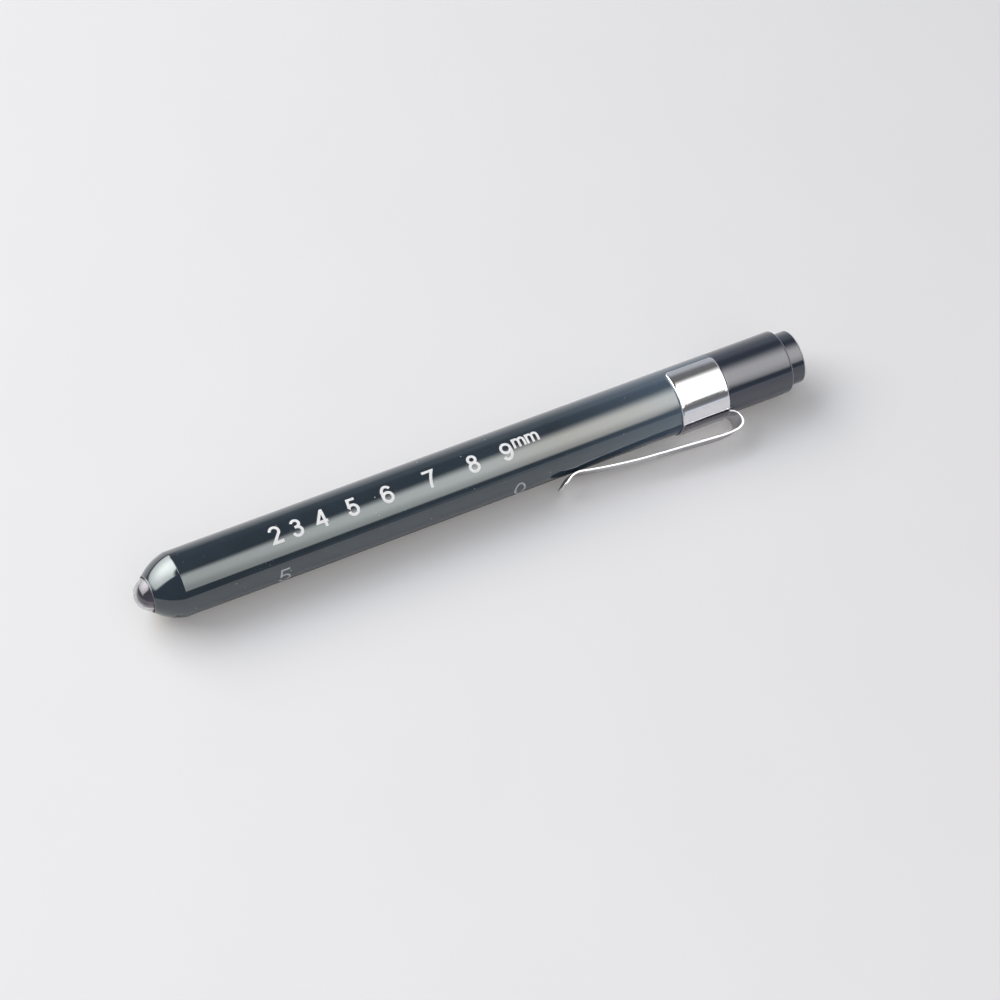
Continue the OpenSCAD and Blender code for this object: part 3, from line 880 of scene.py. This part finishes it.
def floor_paper():
    s = Shader("floor_paper")
    s.set(Metallic=0.0, Roughness=0.9, Specular_IOR_Level=0.0)
    paper = s.colours(s.noise(30, 2), ((0.3, (0.855, 0.855, 0.865)), (0.7, (0.865, 0.865, 0.875))))
    s.link(paper, s.bsdf.inputs["Base Color"])
    reach = s.node("ShaderNodeVectorMath", operation="LENGTH")
    s.link(s.place(), reach.inputs[0])
    away = s.spread(reach.outputs["Value"], 0, 1, PALE_FROM, PALE_TO)
    far = s.maths("MULTIPLY", away, shown_rays(s.tree))
    pale = s.node("ShaderNodeEmission")
    pale.inputs["Color"].default_value = (*BACKDROP, 1)
    blend = s.node("ShaderNodeMixShader")
    s.link(far, blend.inputs[0])
    s.link(s.bsdf.outputs["BSDF"], blend.inputs[1])
    s.link(pale.outputs["Emission"], blend.inputs[2])
    s.link(blend.outputs["Shader"], s.tree.nodes["Material Output"].inputs["Surface"])
    s.mat.cycles.emission_sampling = "NONE"
    return s.mat


floor.data.materials.append(floor_paper())


# Cards that only reflections see, apart from the dim room, which clear pieces see too; the dark cards
# on the table are painted shade
def glow_material():
    mat = bpy.data.materials.new("card_glow")
    mat.use_nodes = True
    tree = mat.node_tree
    tree.nodes.clear()
    out = tree.nodes.new("ShaderNodeOutputMaterial")
    light = tree.nodes.new("ShaderNodeEmission")
    glow = tree.nodes.new("ShaderNodeAttribute")
    glow.attribute_name = "glow"
    tree.links.new(glow.outputs["Color"], light.inputs["Color"])
    tree.links.new(light.outputs["Emission"], out.inputs["Surface"])
    mat.cycles.emission_sampling = "NONE"
    return mat


card_glow = glow_material()


def card(name, us, vs, point, level, colour):
    """A curved card; level gives its strength, and colour is one tint or gives one for each point."""
    bm = bmesh.new()
    grid = [[bm.verts.new(point(u, v)) for u in us] for v in vs]
    for j in range(len(vs) - 1):
        for k in range(len(us) - 1):
            bm.faces.new((grid[j][k], grid[j][k + 1], grid[j + 1][k + 1], grid[j + 1][k]))
    mesh = bpy.data.meshes.new(name)
    bm.to_mesh(mesh)
    bm.free()
    glow = []
    for v in vs:
        for u in us:
            tint = colour(u, v) if callable(colour) else colour
            strength = level(u, v)
            glow += [c * strength for c in tint] + [1.0]
    values = mesh.attributes.new("glow", "FLOAT_COLOR", "POINT")
    values.data.foreach_set("color", glow)
    mesh.materials.append(card_glow)
    obj = new_object(name, mesh)
    obj.visible_camera = False
    obj.visible_diffuse = False
    obj.visible_transmission = False
    obj.visible_shadow = False
    return obj


MIDDLE = Vector((-0.067, 0, 0))
ROOM = 0.18
ROOM_R = 1.4
CREST_R = 0.98
WINDOW_TINT = (0.985, 1.0, 0.995)
SHADE_TINT = (1.0, 0.99, 1.0)
BAND_SHADE_TINT = (1.0, 0.99, 1.02)
TABLE_TINT = (1.0, 0.99, 1.01)
ROOM_TINT = (0.96, 1.0, 1.08)
TABLE_LIFT = 0.0002


def round_point(az, el):
    """A direction by its angle about Z from +X, and its height."""
    a = math.radians(az)
    e = math.radians(el)
    return Vector((math.cos(e) * math.cos(a), math.cos(e) * math.sin(a), math.sin(e)))


def front_point(chi, psi):
    """A point by its angle along the light, chi, and its angle about it, psi."""
    c = math.radians(chi)
    p = math.radians(psi)
    return MIDDLE + Vector((math.sin(c), -math.cos(c) * math.cos(p), math.cos(c) * math.sin(p)))


def front_level(chi, psi):
    """The long window on the clip's side, whose upper edge is softer towards the tail."""
    past = max(0.0, min(18.0, chi - 9.5))
    on_band = hump(23.2, 23.4, 25.05, 25.25, chi)
    top = 80.5 + past + 2.5 * on_band
    soft = 9 + 0.8 * past
    edge = 1 - smooth(top - soft, top + soft, psi)
    foot = 17 + 0.4 * past + 8 * on_band
    body = 0.6 + 0.4 * smooth(30, 60, psi)
    power = (3.2 + 0.13 * past) * (1 - 0.32 * smooth(23.2, 24.8, chi))
    ends = hump(2, 7, 34, 40, chi)
    return ROOM + power * body * edge * smooth(foot, foot + 11, psi) * ends


def front_tint(chi, psi):
    """Nearly white, and warmer just ahead of the clip's band."""
    warm = hump(17, 20.5, 22.9, 23.9, chi)
    return 0.99 - 0.005 * warm, 1.0 - 0.085 * warm, 0.985 - 0.145 * warm


chis = spaced(2, 23, 60) + spaced(23.05, 25.4, 47) + spaced(25.6, 40, 40)
card("front_card", chis, spaced(24, 126, 102), front_point, front_level, front_tint)


def back_point(az, el):
    return MIDDLE + round_point(180 - az, el)


def back_level(az, el):
    """The big window from beyond the nose round to the far side; its foot is higher at the nose."""
    low = 3 + 16 * (1 - smooth(5, 70, az)) + 2.5 * smooth(50, 66, az)
    sides = hump(-13, -4, 92, 98, az)
    ends = hump(low - 2, low + 5, 66, 74, el)
    middle = 1 - smooth(0, 1, math.hypot((az - 57) / 55, (el - 45) / 40))
    fade = (0.62 + 0.38 * smooth(8, 42, el)) * (0.75 + 0.25 * smooth(-8, 30, az))
    return ROOM + 6.8 * fade * (0.95 + 0.45 * middle) * sides * ends


card("back_card", spaced(-14, 99, 113), spaced(0, 75, 75), back_point, back_level, WINDOW_TINT)


def crest_point(chi, psi):
    return MIDDLE + CREST_R * (front_point(chi, psi) - MIDDLE)


def crest_level(chi, psi):
    """A strip over the middle of the light, from its top down the far side."""
    return ROOM + 5.0 * hump(-4, -1, 3.5, 6, chi) * hump(84, 94, 140, 160, psi)


card("crest_card", spaced(-4, 6, 20), spaced(84, 160, 38), crest_point, crest_level, WINDOW_TINT)


def tail_level(chi, psi):
    """A fainter window beyond the tail."""
    return ROOM + 1.9 * hump(48, 56, 80, 86, chi) * hump(10, 24, 140, 156, psi)


card("tail_card", spaced(46, 88, 42), spaced(8, 160, 76), front_point, tail_level, SHADE_TINT)


def dome_point(az, el):
    return MIDDLE + ROOM_R * round_point(az, el)


def dome_level(az, el):
    """The room's walls, lighter low down on the far side, beyond the tail and on the clip's side."""
    behind = hump(20, 60, 120, 160, az) * (1 - smooth(4, 20, el))
    tailward = hump(20, 50, 62, 82, az) * hump(6, 18, 26, 44, el)
    low = 0.1 * (1 - smooth(9, 16, el)) + 0.47 * (1 - smooth(7.2, 9.0, el))
    return ROOM + 0.6 * behind + 0.36 * tailward + hump(282, 291, 330, 350, az) * low


room_els = spaced(-1, 20, 84) + spaced(21, 90, 46)
room = card("dim_room", spaced(0, 360, 72), room_els, dome_point, dome_level, ROOM_TINT)
room.visible_transmission = True


def table_point(x, y):
    return Vector((x, y, FLOOR_Z * MM + TABLE_LIFT))


def table_level(x, y):
    """The lit table beyond the light, a little dimmer towards the tail."""
    return 1.05 - 0.2 * smooth(-0.12, 0.0, x)


card("table_card", spaced(-0.4, 0.3, 8), spaced(0.011, 0.4, 8), table_point, table_level, TABLE_TINT)


def shade_level(x, y):
    """The shaded table under the clip's band."""
    outer = 1 - smooth(-0.011, -0.0088, y)
    ahead = 1 - smooth(-0.034, -0.027, x)
    return 0.27 - 0.06 * smooth(-0.0072, -0.005, y) + 0.08 * max(outer, ahead)


shade_xs = spaced(-0.034, -0.014, 20)
shade_ys = spaced(-0.011, 0.004, 30)
card("band_shade", shade_xs, shade_ys, table_point, shade_level, BAND_SHADE_TINT)


def under_level(x, y):
    """The shaded table under the barrel and the tail cap, darkest close to where they rest."""
    barrel_part = hump(-0.136, -0.118, -0.038, -0.034, x)
    cap_part = 0.5 * hump(-0.014, -0.012, -0.006, -0.003, x)
    return 0.26 - 0.185 * (barrel_part + cap_part) * smooth(-0.0066, -0.0045, y)


under_ys = spaced(-0.0069, -0.001, 24)
card("barrel_shade", spaced(-0.136, -0.034, 51), under_ys, table_point, under_level, SHADE_TINT)
card("cap_shade", spaced(-0.014, -0.003, 11), under_ys, table_point, under_level, SHADE_TINT)


# Soft lamps a metre away, which reflections don't see
LAMP_AWAY = 1.0


def lamp_light(name, direction, size, power, colour, shadow=True):
    data = bpy.data.lights.new(name, "AREA")
    data.shape = "RECTANGLE"
    data.size = size[0]
    data.size_y = size[1]
    data.energy = power
    data.color = colour
    data.use_shadow = shadow
    obj = bpy.data.objects.new(name, data)
    scene.collection.objects.link(obj)
    way = Vector(direction).normalized()
    obj.location = MIDDLE + way * LAMP_AWAY
    obj.rotation_euler = way.to_track_quat("Z", "Y").to_euler()
    obj.visible_camera = False
    obj.visible_glossy = False
    obj.visible_transmission = False


KEY_SIZE = (1.1, 0.36)
lamp_light("key_lamp_low", (-0.548, 0.609, 0.574), KEY_SIZE, 4.65, (1.04, 0.965, 0.83))
lamp_light("key_lamp_high", (-0.384, 0.426, 0.819), KEY_SIZE, 3.75, (0.951, 1.0, 1.112))
lamp_light("top_lamp", (-0.05, -0.53, 0.85), (0.8, 1.25), 1.35, (1.0, 0.95, 0.88))
lamp_light("fill_lamp", (-0.1, -0.74, 0.67), (0.8, 0.6), 3.15, (1.0, 0.94, 0.86), shadow=False)

# World, dim in the light it gives and pale where it shows
SKY_LIGHT = (0.19, 0.205, 0.235)
world = bpy.data.worlds.new("studio")
scene.world = world
world.use_nodes = True
sky_tree = world.node_tree
sky = sky_tree.nodes["Background"]
shade = sky_tree.nodes.new("ShaderNodeMix")
shade.data_type = "RGBA"
sky_tree.links.new(shown_rays(sky_tree), shade.inputs[0])
shade.inputs[6].default_value = (*SKY_LIGHT, 1)
shade.inputs[7].default_value = (*BACKDROP, 1)
sky_tree.links.new(shade.outputs[2], sky.inputs["Color"])
sky.inputs["Strength"].default_value = 1.0

# Camera, from the barrel's edges and rims in the photograph
CAMERA_X = -146.67
CAMERA_AWAY = 640.64
CAMERA_TURNS = ((-0.3572, "Z"), (-0.3202, "Y"), (0.0101, "X"))
camera_data = bpy.data.cameras.new("camera")
camera_data.sensor_width = 36
camera_data.lens = 126.10
camera_data.clip_start = 0.01
camera_data.clip_end = 50
camera = bpy.data.objects.new("camera", camera_data)
scene.collection.objects.link(camera)
tilt = Matrix.Identity(3)
for angle, about in CAMERA_TURNS:
    tilt = tilt @ Matrix.Rotation(angle, 3, about)
sin_e = math.sin(VIEW_ANGLE)
cos_e = math.cos(VIEW_ANGLE)
axes = Matrix(((1, 0, 0), (0, sin_e, cos_e), (0, -cos_e, sin_e)))
flip = Matrix.Diagonal((1, -1, -1))
turn = (flip @ tilt @ flip @ axes).transposed()
place = row(CAMERA_X, -CAMERA_AWAY * cos_e, CAMERA_AWAY * sin_e)
camera.matrix_world = Matrix.Translation(place) @ turn.to_4x4()
scene.camera = camera
